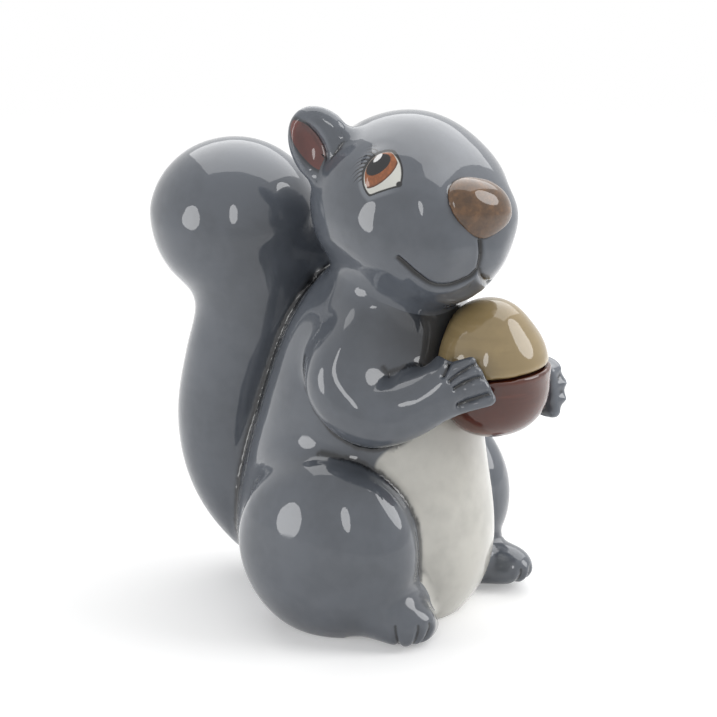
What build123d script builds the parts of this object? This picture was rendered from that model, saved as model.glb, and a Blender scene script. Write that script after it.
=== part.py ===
from build123d import *
from math import cos, pi, radians, sin, tan
import os

# Seated squirrel figurine holding an acorn, in glazed earthenware. It is made of slip-cast
# sections that are luted together before the firing, so nothing moves and every section
# meets its neighbours face to face.
# Millimetres. +X is the animal's left, -Y is forward and +Z is up. The origin lies on the
# table, under the hips.

# Shared by the hollow castings
WALL = 4.0
VENT_DIAMETER = 8.0
OVAL_POINTS = 8

# Torso: an upright egg with a flat base. Front and back are depths from its middle line.
BASE_WIDTH, BASE_FRONT, BASE_BACK = 62.0, 38.0, 36.0
HIP_WIDTH, HIP_FRONT, HIP_BACK, HIP_HEIGHT, HIP_FORWARD = 74.0, 48.0, 43.0, 24.0, -6.5
WAIST_WIDTH, WAIST_FRONT, WAIST_BACK, WAIST_RISE, WAIST_FORWARD = 70.0, 40.5, 36.5, 38.0, -4.5
CHEST_WIDTH, CHEST_FRONT, CHEST_BACK, CHEST_RISE, CHEST_FORWARD = 60.0, 27.5, 28.0, 40.0, 2.5
NECK_WIDTH, NECK_FRONT, NECK_BACK, NECK_RISE, NECK_FORWARD = 40.0, 18.0, 18.0, 16.0, 6.0

# Belly: the front casting, an oval let into the torso's wall
BELLY_WIDTH, BELLY_TOP, BELLY_BOTTOM, BELLY_REACH = 65.0, 82.0, -6.0, 32.0

# Haunches: flattened balls on the hips
HAUNCH_RADIUS, HAUNCH_BULGE, HAUNCH_SINK, HAUNCH_FLAT = 32.0, 20.5, 3.5, 3.5

# Feet: a rounded instep that ends in a row of toes. Each section: place forward of the
# ankle, half width, height.
FOOT_REACH, FOOT_INSET, FOOT_SPLAY, FOOT_TIP = 22.5, 3.0, 5.0, 14.5
FOOT_SECTIONS = [(-12.0, 8.5, 17.0), (-4.0, 9.8, 18.5), (5.0, 10.0, 14.0), (11.0, 8.2, 9.0)]
TOE_COUNT, TOE_PITCH, TOE_RADIUS, TOE_ROOT, TOE_TIP = 4, 5.4, 4.0, 3.0, 12.8

# Head, in its own frame. Each section: place forward, half width, height above and below.
HEAD_FORWARD, HEAD_RISE = 5.0, 19.5
HEAD_YAW, HEAD_PITCH, HEAD_ROLL = 22.0, 10.0, 16.0
HEAD_BACK, HEAD_FRONT, HEAD_END, MUZZLE_DROP = 32.0, 38.0, 2.0, 6.0
HEAD_SECTIONS = [
    (-29.0, 12.0, 12.5, 12.0),
    (-18.0, 26.0, 25.8, 24.5),
    (0.0, 31.2, 31.0, 31.0),
    (16.0, 29.0, 26.5, 33.0),
    (28.0, 24.0, 15.5, 27.5),
    (35.5, 14.5, 4.5, 17.5),
]

# Ears: cupped leaves that lean out and back
EAR_HEIGHT, EAR_WIDTH, EAR_THICKNESS, EAR_TURN = 32.0, 22.0, 12.0, 30.0
EAR_CUP_SCALE, EAR_CUP_SHIFT = 0.76, 5.2
EAR_FORWARD, EAR_OUT, EAR_UP = -10.0, 27.5, 13.8
EAR_AXIS = (-6.0, 9.7, 14.0)

# Nose: an egg with its small end down. Each section: height, half width, half depth.
NOSE_FORWARD, NOSE_TOP, NOSE_BOTTOM = 32.0, 8.6, -13.5
NOSE_SECTIONS = [(-10.5, 5.4, 5.0), (-4.5, 11.0, 8.0), (2.5, 13.2, 8.6), (6.8, 10.2, 6.2)]

# Eyes: lenses set into the head
EYE_WIDTH, EYE_HEIGHT, EYE_DEPTH, EYE_SINK = 16.0, 17.0, 7.0, 2.4
EYE_FORWARD, EYE_OUT, EYE_UP = 17.2, 26.2, 8.8

# Tail: a stalk that climbs the back and ends in a ball. Each place: forward, up, radius.
TAIL_SECTIONS = [
    (-28.0, 16.0, 14.0),
    (-46.0, 24.5, 16.2),
    (-56.5, 47.0, 18.3),
    (-53.0, 77.0, 18.5),
    (-47.0, 99.0, 19.5),
    (-44.0, 124.0, 19.5),
]
BALL_LENGTH, BALL_WIDTH, BALL_HEIGHT = 59.5, 55.0, 56.0
BALL_FORWARD, BALL_UP = -54.0, 124.0

# Acorn: the nut stands in its cup, leaning back against the chest
NUT_RADIUS, NUT_HEIGHT, NUT_ROOT, NUT_STEP = 18.8, 22.2, 10.0, 2.0
CUP_RADIUS, CUP_HEIGHT, CUP_LIP = 20.2, 23.5, 3.0
ACORN_SINK, ACORN_DROP, ACORN_TILT = 6.6, 14.0, 5.5

# Arms. Each place: share of the way from the chest to the acorn, how far outside the
# chest, how far below the shoulder line, half width, half height.
ARM_SECTIONS = [
    (0.0, -9.0, -4.0, 8.0, 8.0),
    (0.03, 0.5, 8.0, 11.5, 11.5),
    (0.15, 3.0, 21.0, 12.0, 12.0),
    (0.41, 1.0, 26.0, 10.5, 10.5),
]
# From the wrist on the places follow the hand. Each: share of the way, how far outside the
# acorn's cup, how far above the middle finger's ring, half width, half height.
HAND_SECTIONS = [(0.68, 5.6, -0.5, 8.2, 10.0), (0.84, 4.0, 0.6, 6.4, 9.6), (1.0, 0.6, 0.0, 3.6, 8.6)]

# Hands: rings of fingers round the acorn. The right one rises towards the front, and the
# left one supports the cup from lower down and reaches further round.
HAND_DROP = {-1: 1.2, 1: 13.0}
HAND_TILT = {-1: 22.0, 1: 4.0}
HAND_LEAD = {-1: 0.0, 1: 20.0}
FINGER_COUNT, FINGER_RADIUS, FINGER_PITCH, FINGER_GRIP = 4, 2.6, 4.3, 0.8
FINGER_START, FINGER_SWEEP, FINGER_FAN = 104.0, 31.0, 1.5
THUMB_RADIUS, THUMB_LENGTH, THUMB_TURN, THUMB_LIFT = 3.2, 7.5, 112.0, 4.5

waist_height = HIP_HEIGHT + WAIST_RISE
chest_height = waist_height + CHEST_RISE
neck_height = chest_height + NECK_RISE
haunch_out = HIP_WIDTH / 2 - HAUNCH_SINK
haunch_height = HAUNCH_RADIUS - HAUNCH_FLAT
acorn_forward = CHEST_FORWARD + CHEST_FRONT + NUT_RADIUS - ACORN_SINK
acorn_height = chest_height - ACORN_DROP
finger_ring = CUP_RADIUS + FINGER_RADIUS - FINGER_GRIP
SIDES = ((-1, "right"), (1, "left"))


def point(forward, left, up):
    """A place given by how far forward, left and up it lies."""
    return Vector(left, -forward, up)


def oval(plane, half_width, above, below):
    """A closed section with its own height above and below. Its seam is at the bottom."""
    places = []
    for step in range(OVAL_POINTS):
        turn = 2 * pi * step / OVAL_POINTS - pi / 2
        height = above if sin(turn) > 0 else below
        places.append((half_width * cos(turn), height * sin(turn)))
    with BuildSketch(plane) as section:
        with BuildLine():
            Spline(places, periodic=True)
        make_face()
    return section.sketch


def ellipsoid(frame, half_x, half_y, half_z):
    """An ellipsoid centred on a frame, with its half lengths along the frame's axes."""
    with BuildPart() as form:
        Sphere(half_z)
        scale(by=(half_x / half_z, half_y / half_z, 1))
    return form.part.moved(frame.location)


def limb(places, sizes):
    """A bent form, lofted through ovals that stand square to its axis."""
    with BuildLine():
        bone = Spline(places)
    outlines = []
    for place, (half_width, half_height) in zip(places, sizes):
        across = Plane(place, x_dir=(1, 0, 0), z_dir=bone.tangent_at(place))
        outlines.append(oval(across, half_width, half_height, half_height))
    with BuildPart() as form:
        loft(outlines)
    return form.part


def torso_form(inset):
    """The torso's outer form, or its cavity when it is drawn in by the wall."""
    sections = [
        (inset, BASE_WIDTH, BASE_FRONT, BASE_BACK, HIP_FORWARD),
        (HIP_HEIGHT, HIP_WIDTH, HIP_FRONT, HIP_BACK, HIP_FORWARD),
        (waist_height, WAIST_WIDTH, WAIST_FRONT, WAIST_BACK, WAIST_FORWARD),
        (chest_height, CHEST_WIDTH, CHEST_FRONT, CHEST_BACK, CHEST_FORWARD),
        (neck_height, NECK_WIDTH, NECK_FRONT, NECK_BACK, NECK_FORWARD),
    ]
    outlines = []
    for height, width, front, back, forward in sections:
        level = Plane(point(forward, 0, height))
        outlines.append(oval(level, width / 2 - inset, back - inset, front - inset))
    with BuildPart() as form:
        loft(outlines)
    return form.part


def haunch_form(side):
    middle = Plane(point(0, side * haunch_out, haunch_height))
    return ellipsoid(middle, HAUNCH_BULGE, HAUNCH_RADIUS, HAUNCH_RADIUS)


head_frame = (
    Plane(point(NECK_FORWARD + HEAD_FORWARD, 0, neck_height + HEAD_RISE), x_dir=(1, 0, 0), z_dir=(0, -1, 0))
    .rotated((0, HEAD_ROLL, 0))
    .rotated((-HEAD_PITCH, 0, 0))
    .rotated((0, 0, -HEAD_YAW))
)


def on_head(forward, left, up):
    """A place in the head's own frame."""
    return head_frame.from_local_coords(Vector(left, up, forward))


def head_form(inset):
    """The head's outer form or cavity, lofted from the back of the skull to the muzzle."""
    sections = [(on_head(inset - HEAD_BACK, 0, 0), HEAD_END, HEAD_END, HEAD_END)]
    for forward, half_width, above, below in HEAD_SECTIONS:
        middle = on_head(forward * (1 - inset / HEAD_BACK), 0, 0)
        sections.append((middle, half_width - inset, above - inset, below - inset))
    sections.append((on_head(HEAD_FRONT - inset, 0, -MUZZLE_DROP), HEAD_END, HEAD_END, HEAD_END))
    outlines = []
    for middle, half_width, above, below in sections:
        level = Plane(middle, x_dir=head_frame.x_dir, z_dir=head_frame.z_dir)
        outlines.append(oval(level, half_width, above, below))
    with BuildPart() as form:
        loft(outlines)
    return form.part


def tail_form(inset):
    """The stalk and its ball in one, or their cavity."""
    places = [point(forward, 0, up) for forward, up, radius in TAIL_SECTIONS]
    middle = Plane(point(BALL_FORWARD, 0, BALL_UP))
    with BuildPart() as form:
        add(limb(places, [(radius - inset, radius - inset) for forward, up, radius in TAIL_SECTIONS]))
        add(ellipsoid(middle, BALL_WIDTH / 2 - inset, BALL_LENGTH / 2 - inset, BALL_HEIGHT / 2 - inset))
    return form.part


def ear_form(side):
    """A leaf-shaped ear, scooped out on the side that faces away from the head."""
    axis = Vector(side * EAR_AXIS[1], EAR_AXIS[2], EAR_AXIS[0]).normalized()
    outward = Vector(side * cos(radians(EAR_TURN)), 0, sin(radians(EAR_TURN)))
    opening = (outward - axis * outward.dot(axis)).normalized()
    root = Vector(side * EAR_OUT, EAR_UP, EAR_FORWARD)
    middle = Plane(root, x_dir=opening, z_dir=axis)
    cup = Plane(root + axis * EAR_HEIGHT * 0.06 + opening * EAR_CUP_SHIFT, x_dir=opening, z_dir=axis)
    cut = [EAR_CUP_SCALE * size / 2 for size in (EAR_THICKNESS, EAR_WIDTH, EAR_HEIGHT)]
    with BuildPart() as form:
        add(ellipsoid(middle, EAR_THICKNESS / 2, EAR_WIDTH / 2, EAR_HEIGHT / 2))
        add(ellipsoid(cup, *cut), mode=Mode.SUBTRACT)
    return form.part.moved(head_frame.location)


def nose_form():
    """An egg with its small end down, standing across the tip of the muzzle."""
    outlines = [Vertex(*on_head(NOSE_FORWARD, 0, NOSE_BOTTOM))]
    for height, half_width, half_depth in NOSE_SECTIONS:
        level = Plane(on_head(NOSE_FORWARD, 0, height), x_dir=head_frame.x_dir, z_dir=-head_frame.y_dir)
        outlines.append(oval(level, half_width, half_depth, half_depth))
    outlines.append(Vertex(*on_head(NOSE_FORWARD, 0, NOSE_TOP)))
    with BuildPart() as form:
        loft(outlines)
    return form.part


def eye_form(side):
    """A lens whose face looks straight out of the head."""
    surface = on_head(EYE_FORWARD, side * EYE_OUT, EYE_UP)
    outward = (surface - on_head(0, 0, 0)).normalized()
    frame = Plane(surface - outward * EYE_SINK, x_dir=head_frame.z_dir, z_dir=outward)
    return ellipsoid(frame, EYE_WIDTH / 2, EYE_HEIGHT / 2, EYE_DEPTH / 2)


acorn_plane = Plane(
    point(acorn_forward, 0, acorn_height), x_dir=(1, 0, 0), z_dir=(0, -1, 0)
).rotated((-ACORN_TILT, 0, 0))
acorn_axis = Axis(acorn_plane.origin, acorn_plane.y_dir)


def nut_form():
    """A dome above the cup's rim, with a root that fills the cup's socket."""
    root = NUT_RADIUS - NUT_STEP
    shoulder = (0.75 * NUT_RADIUS, 0.6 * NUT_HEIGHT)
    with BuildPart() as form:
        with BuildSketch(acorn_plane):
            with BuildLine():
                Spline((NUT_RADIUS, 0), shoulder, (0, NUT_HEIGHT), tangents=[(0, 1), (-1, 0)])
                Polyline((0, NUT_HEIGHT), (0, -NUT_ROOT), (root, -NUT_ROOT), (root, 0), (NUT_RADIUS, 0))
            make_face()
        revolve(axis=acorn_axis)
    return form.part


def cup_form():
    """The bowl under the nut, with a rounded lip round its rim."""
    rim = CUP_RADIUS - CUP_LIP / 2
    with BuildPart() as form:
        with BuildSketch(acorn_plane):
            with BuildLine():
                Line((0, 0), (rim, 0))
                ThreePointArc((rim, 0), (CUP_RADIUS, -CUP_LIP / 2), (rim, -CUP_LIP))
                Spline((rim, -CUP_LIP), (0, -CUP_HEIGHT), tangents=[(0.1, -1), (-1, 0)])
                Line((0, -CUP_HEIGHT), (0, 0))
            make_face()
        revolve(axis=acorn_axis)
    return form.part


def grip_height(side, forward):
    """The height of a hand's middle ring, which slopes along the forward line."""
    return acorn_height - HAND_DROP[side] + (forward - acorn_forward) * tan(radians(HAND_TILT[side]))


def hand_form(side):
    """Fingers and thumb, laid round the acorn."""
    middle = point(acorn_forward, 0, grip_height(side, acorn_forward))
    grip = Plane(middle, x_dir=(0, -1, 0), z_dir=(0, 0, 1)).rotated((-HAND_TILT[side], 0, 0))

    def on_grip(turn, radius, height):
        turn = radians(turn - HAND_LEAD[side])
        return Vector(radius * cos(turn), side * radius * sin(turn), height)

    root = on_grip(THUMB_TURN, finger_ring, THUMB_LIFT)
    tip = on_grip(THUMB_TURN - 8, finger_ring - 1, THUMB_LIFT + THUMB_LENGTH)
    with BuildPart() as form:
        for finger in range(FINGER_COUNT):
            height = ((FINGER_COUNT - 1) / 2 - finger) * FINGER_PITCH
            turn = FINGER_START - finger * FINGER_FAN
            knuckle = on_grip(turn, finger_ring, height)
            fingertip = on_grip(turn - FINGER_SWEEP, finger_ring, height)
            with BuildSketch(Plane(knuckle, z_dir=fingertip - knuckle)):
                Circle(FINGER_RADIUS)
            extrude(amount=(fingertip - knuckle).length)
            with Locations(fingertip):
                Sphere(FINGER_RADIUS)
        with BuildSketch(Plane(root, z_dir=tip - root)):
            Circle(THUMB_RADIUS)
        extrude(amount=(tip - root).length)
        with Locations(tip):
            Sphere(THUMB_RADIUS)
    return form.part.moved(grip.location)


def arm_form(side):
    """The limb from shoulder to knuckles, with its fingers and thumb."""
    reach = acorn_forward - CHEST_FORWARD
    places = []
    sizes = []
    for share, outside, below, half_width, half_height in ARM_SECTIONS:
        out = CHEST_WIDTH / 2 + outside
        places.append(point(CHEST_FORWARD + share * reach, side * out, chest_height - below))
        sizes.append((half_width, half_height))
    for share, outside, above, half_width, half_height in HAND_SECTIONS:
        forward = CHEST_FORWARD + share * reach
        places.append(point(forward, side * (CUP_RADIUS + outside), grip_height(side, forward) + above))
        sizes.append((half_width, half_height))
    with BuildPart() as form:
        add(limb(places, sizes))
        add(hand_form(side))
    return form.part


def foot_form(side):
    """An instep and its toes, turned a little outwards."""
    ankle = Plane(point(FOOT_REACH, side * (haunch_out - FOOT_INSET), 0)).rotated((0, 0, side * FOOT_SPLAY))
    outlines = []
    for forward, half_width, height in FOOT_SECTIONS:
        level = Plane(point(forward, 0, 0), x_dir=(-1, 0, 0), z_dir=(0, -1, 0))
        outlines.append(oval(level, half_width, height, height))
    outlines.append(Vertex(*point(FOOT_TIP, 0, 0)))
    with BuildPart() as form:
        loft(outlines)
        for toe in range(TOE_COUNT):
            across = (toe - (TOE_COUNT - 1) / 2) * TOE_PITCH
            with BuildSketch(Plane(point(TOE_ROOT, across, TOE_RADIUS), z_dir=(0, -1, 0))):
                Circle(TOE_RADIUS)
            length = TOE_TIP - TOE_ROOT - abs(across) * 0.25
            extrude(amount=length)
            with Locations(point(TOE_ROOT + length, across, TOE_RADIUS)):
                Sphere(TOE_RADIUS)
    return form.part.moved(ankle.location)


def finish(part, name):
    """Labels a finished casting and writes it."""
    part.label = name
    export_step(part, f"parts/{name}.step")


os.makedirs("parts", exist_ok=True)

# The belly is the part of the torso's wall inside an oval, seen from the front
with BuildPart() as belly_oval:
    belly_middle = (BELLY_TOP + BELLY_BOTTOM) / 2
    belly_back = HIP_FORWARD + HIP_FRONT - BELLY_REACH
    with BuildSketch(Plane(point(belly_back, 0, belly_middle), x_dir=(1, 0, 0), z_dir=(0, -1, 0))):
        Ellipse(BELLY_WIDTH / 2, (BELLY_TOP - BELLY_BOTTOM) / 2)
    extrude(amount=2 * BELLY_REACH)

with BuildPart() as torso:
    add(torso_form(0))
    add(torso_form(WALL), mode=Mode.SUBTRACT)
    add(belly_oval.part, mode=Mode.SUBTRACT)
    add(tail_form(WALL), mode=Mode.SUBTRACT)
    with Locations(point(HIP_FORWARD - VENT_DIAMETER, 0, WALL)):
        Hole(VENT_DIAMETER / 2, depth=WALL)
finish(torso.part, "torso")

with BuildPart() as belly:
    add(torso_form(0))
    add(torso_form(WALL), mode=Mode.SUBTRACT)
    add(belly_oval.part, mode=Mode.INTERSECT)
finish(belly.part, "belly")

with BuildPart() as tail:
    add(tail_form(0))
    add(tail_form(WALL), mode=Mode.SUBTRACT)
    add(torso_form(0), mode=Mode.SUBTRACT)
finish(tail.part, "tail")

with BuildPart() as head:
    add(head_form(0))
    add(head_form(WALL), mode=Mode.SUBTRACT)
    add(torso_form(0), mode=Mode.SUBTRACT)
    for side, name in SIDES:
        add(eye_form(side), mode=Mode.SUBTRACT)
finish(head.part, "head")

with BuildPart() as nose:
    add(nose_form())
    add(head_form(0), mode=Mode.SUBTRACT)
finish(nose.part, "nose")

with BuildPart() as acorn_nut:
    add(nut_form())
    add(torso_form(0), mode=Mode.SUBTRACT)
    add(head_form(0), mode=Mode.SUBTRACT)
finish(acorn_nut.part, "acorn_nut")

with BuildPart() as acorn_cup:
    add(cup_form())
    add(nut_form(), mode=Mode.SUBTRACT)
    add(torso_form(0), mode=Mode.SUBTRACT)
finish(acorn_cup.part, "acorn_cup")

for side, name in SIDES:
    with BuildPart() as ear:
        add(ear_form(side))
        add(head_form(0), mode=Mode.SUBTRACT)
    finish(ear.part, f"{name}_ear")

    finish(eye_form(side), f"{name}_eye")

    with BuildPart() as haunch:
        add(haunch_form(side))
        add(torso_form(0), mode=Mode.SUBTRACT)
        split(bisect_by=Plane.XY, keep=Keep.TOP)
    finish(haunch.part, f"{name}_haunch")

    with BuildPart() as foot:
        add(foot_form(side))
        add(haunch_form(side), mode=Mode.SUBTRACT)
        add(torso_form(0), mode=Mode.SUBTRACT)
        split(bisect_by=Plane.XY, keep=Keep.TOP)
    finish(foot.part, f"{name}_foot")

    with BuildPart() as arm:
        add(arm_form(side))
        add(torso_form(0), mode=Mode.SUBTRACT)
        add(cup_form(), mode=Mode.SUBTRACT)
        add(nut_form(), mode=Mode.SUBTRACT)
    finish(arm.part, f"{name}_arm")
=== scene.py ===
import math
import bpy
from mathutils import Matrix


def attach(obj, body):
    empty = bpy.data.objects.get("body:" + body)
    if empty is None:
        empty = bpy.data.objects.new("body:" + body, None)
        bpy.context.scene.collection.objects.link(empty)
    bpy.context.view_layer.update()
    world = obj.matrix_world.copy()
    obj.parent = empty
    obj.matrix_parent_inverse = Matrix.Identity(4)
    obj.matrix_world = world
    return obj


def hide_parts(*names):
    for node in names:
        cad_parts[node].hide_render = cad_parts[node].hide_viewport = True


bl_info = {
    "name": "Squirrel figurine",
    "version": (1, 0, 0),
    "blender": (4, 5, 0),
    "location": "3D View > Sidebar > Figurine",
    "description": "Glazed earthenware squirrel with an acorn, dressed over its cast sections",
    "category": "Object",
}

import bmesh
import bpy
import numpy as np
from bpy.props import FloatProperty, FloatVectorProperty, IntProperty, PointerProperty
from mathutils import Matrix, Vector, noise
from mathutils.bvhtree import BVHTree
from mathutils.kdtree import KDTree

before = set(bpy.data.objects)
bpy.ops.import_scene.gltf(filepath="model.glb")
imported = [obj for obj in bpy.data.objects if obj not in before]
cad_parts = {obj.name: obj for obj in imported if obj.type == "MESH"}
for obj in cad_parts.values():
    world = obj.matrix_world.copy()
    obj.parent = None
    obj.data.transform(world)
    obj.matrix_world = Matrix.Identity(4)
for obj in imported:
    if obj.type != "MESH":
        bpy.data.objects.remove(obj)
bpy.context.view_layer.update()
MM = 0.001

# The castings that run into each other under one coat of glaze. The first three keep their wall, and
# the others are closed where they meet their neighbours.
HOLLOW = ("torso", "belly", "head")
SOLID = (
    "tail", "right_ear", "left_ear", "right_haunch", "left_haunch", "right_foot", "left_foot",
    "right_arm", "left_arm", "right_eye", "left_eye",
)
CASTINGS = HOLLOW + SOLID

# The head's own frame: x to the animal's left, y up and z forward
HEAD_PLACE = Vector((0, -11.0, 137.5)) * MM
HEAD_TURN = (
    Matrix.Rotation(math.radians(-22), 3, "Z")
    @ Matrix.Rotation(math.radians(-10), 3, "X")
    @ Matrix.Rotation(math.radians(16), 3, "Y")
    @ Matrix(((1, 0, 0), (0, 0, -1), (0, 1, 0)))
)

# The line of the mouth, from corner to corner, and the groove from the nose down to it.
# Each place on the head: forward, left, up, in millimetres.
MOUTH = [
    (24.0, -20.6, -18.2), (25.3, -18.9, -20.0), (27.0, -14.2, -22.9), (28.2, -9.1, -24.9),
    (30.2, -4.2, -24.6), (33.0, 0.5, -21.8), (34.9, 2.6, -18.6), (33.6, 5.0, -20.4),
    (31.4, 9.2, -22.0), (28.6, 14.0, -22.4), (27.0, 18.0, -20.8),
]
PHILTRUM = [(38.0, 0.1, -9.9), (36.8, 1.6, -14.5), (34.9, 2.6, -18.8)]

# Clay on the castings: whose it is, place and half sizes in millimetres, and the turn of the first
# size from the animal's left. The first closes the nape to the tail, and the others round the paws
# and lay the left hand's fingers on the acorn.
CLAY = [
    ("tail", (9.0, 24.5, 114.0), (11.0, 5.0, 12.0), 0),
    ("right_foot", (-35.5, -29.0, 8.0), (13.0, 9.0, 8.4), -61),
    ("left_foot", (28.0, -36.0, 7.8), (12.5, 9.0, 8.0), 61),
    ("right_foot", (-30.5, -25.5, 11.0), (10.0, 8.0, 7.8), -61),
    ("left_arm", (23.4, -51.2, 83.0), (8.0, 3.6, 3.2), 63),
    ("left_arm", (23.2, -53.4, 78.3), (8.0, 3.6, 3.2), 63),
    ("left_arm", (22.0, -53.9, 73.4), (8.0, 3.6, 3.2), 63),
    ("left_arm", (19.6, -52.6, 68.7), (8.0, 3.6, 3.2), 63),
]

# Grooves between the toes, as turns in degrees round a paw's clay, by its number in CLAY, and between
# the right hand's fingers, in millimetres
TOES = {1: (102, 63, 36), 2: (195, 155, 115)}
FINGERS = [
    [(-26.5, -41.0, 90.2), (-24.6, -42.6, 91.8), (-23.3, -44.6, 93.3),
     (-23.0, -46.8, 94.8), (-20.3, -48.0, 95.3)],
    [(-25.9, -42.8, 87.6), (-24.1, -44.1, 88.6), (-23.2, -45.9, 89.7),
     (-23.1, -48.0, 90.8), (-21.4, -50.2, 91.4)],
    [(-24.9, -43.6, 81.7), (-23.5, -45.4, 82.8), (-23.0, -47.9, 84.0),
     (-22.6, -50.5, 85.2), (-21.7, -52.7, 86.1)],
    [(-22.3, -38.1, 95.5), (-25.0, -38.5, 94.1), (-26.6, -38.4, 91.8)],
]

# Soft forms of the face, the same on both sides: forward, out, up, radius, height
FACE_FORMS = [
    (34.0, 9.5, -14.5, 7.5, 1.8),
    (26.0, 24.0, -7.0, 7.0, -1.2),
    (12.0, 30.0, -11.0, 12.0, 0.9),
    (14.0, 24.5, 18.5, 6.0, 0.5),
    (25.0, 21.0, 8.0, 5.0, -0.7),
    (27.0, 8.0, -30.0, 9.0, 0.8),
]

# The eye as it is painted, in millimetres: its middle in the head's own frame, and from there forward
# and up in the plane of its face. The opening lies inside two circles, each with its middle and
# radius, and above a straight lower lid. The iris, the pupil and the glint are ovals: middle, half
# length, half width and turn in degrees.
EYE_MIDDLE = Vector((26.2, 8.4, 17.2))
LID_CIRCLES = [((3.2, -1.0), 8.5), ((-6.0, -5.0), 14.4)]
LOWER_LID = ((0.494, -0.87), 7.2)
IRIS = ((-0.7, 0.2), 7.6, 4.75, 62)
PUPIL = ((-1.2, 1.4), 4.5, 2.75, 58)
GLINT = ((-2.1, 3.5), 1.9, 0.8, 65)

# The middle of the painted shade under the chin, in millimetres
CHIN_SHADE_MIDDLE = Vector((-10.0, -27.0, 103.0))

# The left ear in the head's own frame, in millimetres: its root, the ways along it, out of its opening
# and across it, and the middle of its scoop
EAR_ROOT = Vector((27.5, 13.8, -10.0))
EAR_AXIS = Vector((9.7, 14.0, -6.0)).normalized()
EAR_OUTWARD = Vector((math.cos(math.radians(30)), 0, math.sin(math.radians(30))))
EAR_OPENING = (EAR_OUTWARD - EAR_AXIS * EAR_OUTWARD.dot(EAR_AXIS)).normalized()
EAR_ACROSS = EAR_AXIS.cross(EAR_OPENING)
EAR_MIDDLE = EAR_ROOT + EAR_AXIS * 1.92 + EAR_OPENING * 5.2
# Half sizes of the scoop: out of the opening, across and along the ear
EAR_CUP = (4.56, 8.36, 12.16)
# The painted oval in the scoop: across and along the ear, middle and half sizes
EAR_OVAL = ((3.2, 3.6), (3.0, 8.8))

# The middle of the acorn cup's rim, and the way that the acorn leans
ACORN_RIM = Vector((0, -42.2, 88.0)) * MM
ACORN_TILT = math.radians(5.5)
ACORN_AXIS = Vector((0, math.sin(ACORN_TILT), math.cos(ACORN_TILT)))

# The white oval on the belly: height of its middle, half width and half height, in millimetres
BELLY_OVAL = (37.0, 34.8, 45.0)

# The plug that closes the vent in the base: place, radius and length, in millimetres
VENT_PLUG = ((0, 14.5, 2.0), 6.0, 5.0)

# The camera looks at the point this far right of and above the origin in its picture, in millimetres
PICTURE_MIDDLE = (-6.12, 79.39)

# Lamps round the figurine: turn from the camera and height angle in degrees, distance, width and
# height in metres, brightness and shape
LAMP_TARGET = Vector((0, 0, 0.09))
LAMPS = (
    ("left softbox", -66, 6, 0.9, 0.38, 0.52, 4.5, "ELLIPSE"),
    ("front softbox", -12, 24, 1.2, 0.2, 0.55, 5.0, "ELLIPSE"),
    ("right softbox", 86, 30, 0.9, 0.55, 0.7, 4.5, "ELLIPSE"),
    ("overhead softbox", 172, 60, 1.05, 1.6, 1.5, 1.9, "RECTANGLE"),
)


def linear(code):
    """An sRGB hex colour as linear red, green, blue and alpha."""
    values = [int(code[i:i + 2], 16) / 255 for i in (1, 3, 5)]
    return tuple(v / 12.92 if v <= 0.04045 else ((v + 0.055) / 1.055) ** 2.4 for v in values) + (1.0,)


def tint(base, share):
    """A colour made darker or paler by a share."""
    return tuple(min(1.0, share * value) for value in base[:3]) + (1.0,)


def colour(name, description, code):
    return FloatVectorProperty(
        name=name, description=description, subtype="COLOR", size=4, min=0, max=1, default=linear(code)
    )


def length(name, description, millimetres):
    return FloatProperty(
        name=name, description=description, unit="LENGTH", precision=5, default=millimetres * MM
    )


class GlazeColours(bpy.types.PropertyGroup):
    grey: colour("Grey", "Grey underglaze of the coat", "#5d626a")
    # The colour for pooled glaze also paints shade in creases, in hollows and under the chin.
    pool: colour("Pool", "Where the glaze runs together in a groove", "#1d1f23")
    # The colour for thinner glaze paints the highlight along the rim below the eye.
    thin_and_highlight: colour("Thin", "Where the glaze thins over an edge", "#7d8289")
    white: colour("Belly", "White underglaze of the belly", "#cfcdc5")
    ear: colour("Ear", "Pink-brown inside of the ear", "#743f39")
    nose: colour("Nose", "Brown of the nose", "#5f4226")
    nut: colour("Nut", "Tan of the nut", "#a08b62")
    cup: colour("Cup", "Dark brown of the acorn's cup", "#4d1c08")
    iris: colour("Iris", "Brown of the iris", "#8c5029")
    iris_edge: colour("Iris edge", "Dark rim of the iris", "#4a2412")
    eye: colour("Eye", "White of the eye", "#d6d6cf")
    line: colour("Line", "Brushed lines round the eye and in the mouth", "#101114")


class BodySizes(bpy.types.PropertyGroup):
    voxel: length("Voxel", "Cell that the castings are joined with", 0.7)
    swell: length("Swell", "How far glaze rounds a crease", 0.5)
    wall: length("Wall", "Thickness of the hollow castings' skin", 2.0)
    mouth_depth: length("Mouth depth", "Depth of the mouth's line", 1.3)
    mouth_width: length("Mouth width", "Half width of the mouth's line", 0.85)
    paw_depth: length("Paw depth", "Depth of the grooves between toes and fingers", 1.3)
    paw_width: length("Paw width", "Half width of those grooves", 1.1)
    wave: length("Wave", "Unevenness of the hand-finished surface", 0.16)
    wave_length: length("Wave length", "Spacing of that unevenness", 17.0)
    neck_blend: length("Neck blend", "How far the head runs into the shoulders", 16.0)
    neck_rounds: IntProperty(
        name="Neck rounds", description="How strongly that joint is softened", default=260
    )


class StageSettings(bpy.types.PropertyGroup):
    azimuth: FloatProperty(name="Azimuth", description="Camera's turn from the front", subtype="ANGLE",
                           default=math.radians(-61))
    elevation: FloatProperty(name="Elevation", description="Camera's height angle", subtype="ANGLE",
                             default=math.radians(18))
    distance: length("Distance", "Camera to figurine", 1000.0)
    lens: FloatProperty(name="Lens", description="Focal length on a 36 mm sensor", default=147.67)
    room: FloatProperty(name="Room", description="Light from the white room", default=0.32)


# Places and meshes


def on_head(forward, left, up):
    """A place given in the head's own frame, in millimetres."""
    return HEAD_PLACE + HEAD_TURN @ (Vector((left, up, forward)) * MM)


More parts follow.
